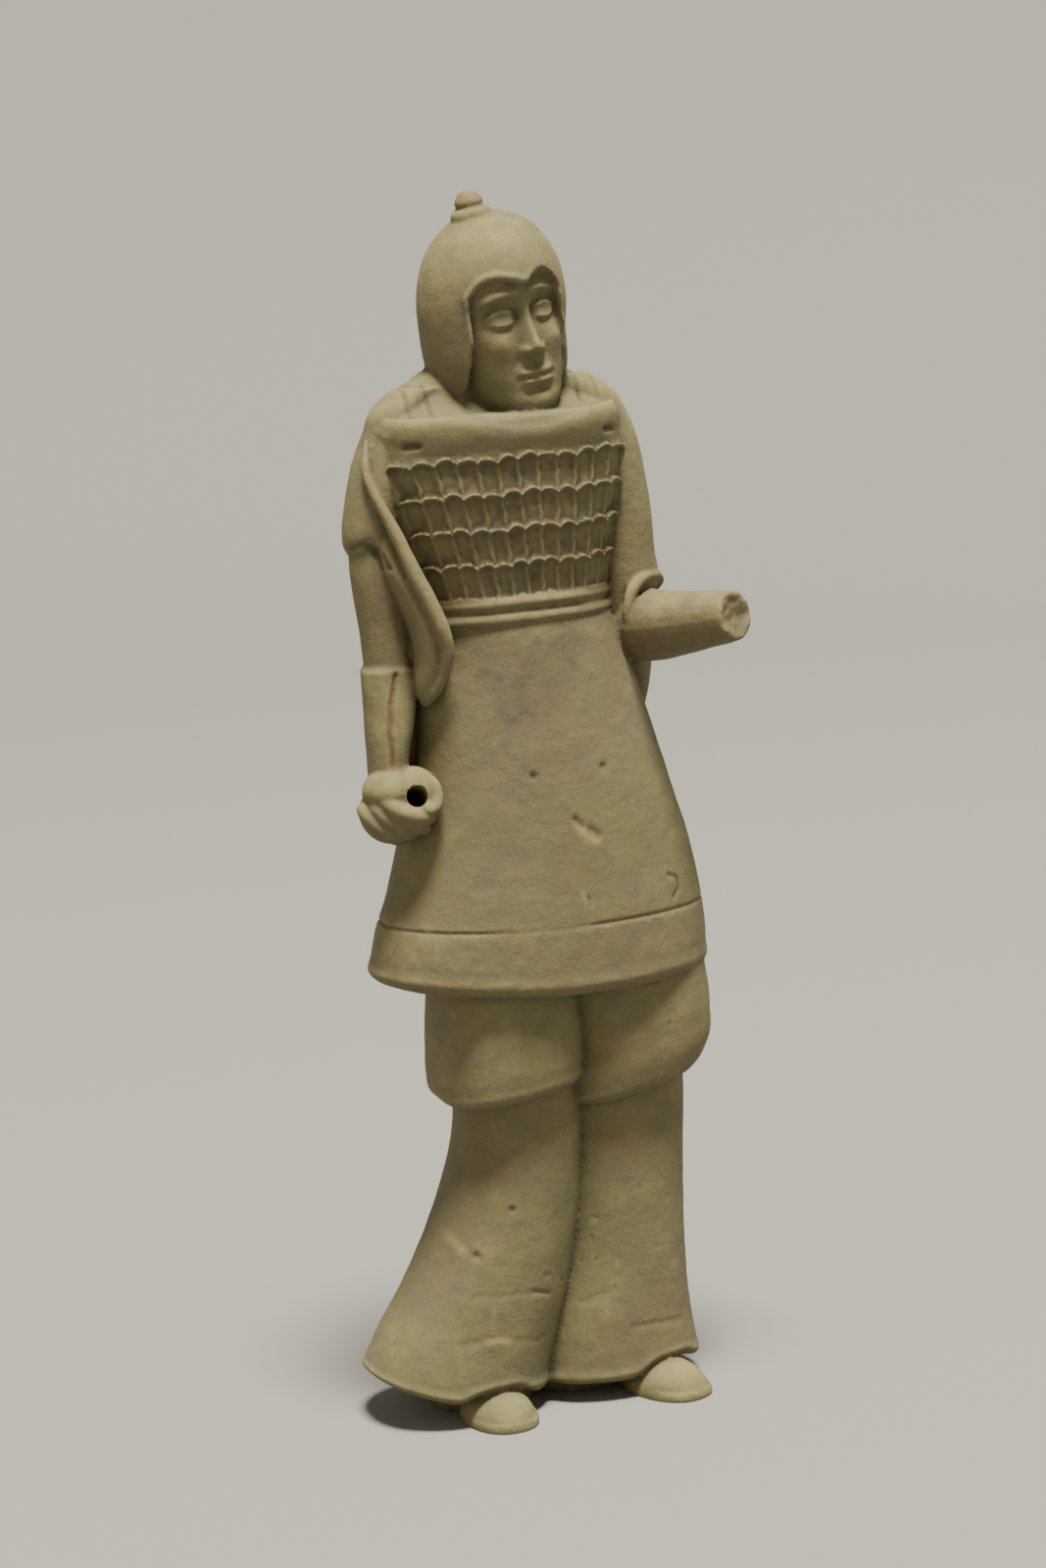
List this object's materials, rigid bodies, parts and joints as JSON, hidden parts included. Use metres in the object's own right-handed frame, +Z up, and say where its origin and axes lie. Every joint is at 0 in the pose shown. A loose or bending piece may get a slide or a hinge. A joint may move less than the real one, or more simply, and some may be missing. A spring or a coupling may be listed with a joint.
{
  "type": "pottery soldier figure",
  "caption": "Standing pottery tomb figure of a helmeted soldier in scale armour, long skirt and wide trousers, fist pierced for a shaft, one forearm broken off.",
  "frame": {"origin": "on the ground plane under the figure, between the feet, below the middle of the chest", "axes": "+Z up from the soles to the helmet's finial, -Y the way the body faces, +X to the figure's own left"},
  "size_m": [0.1027, 0.0627, 0.3003],
  "materials": {
    "clay": "unglazed, matt, grey-green"
  },
  "bodies": {
    "root": {"soldier_figure": "clay"}
  },
  "joints": []
}
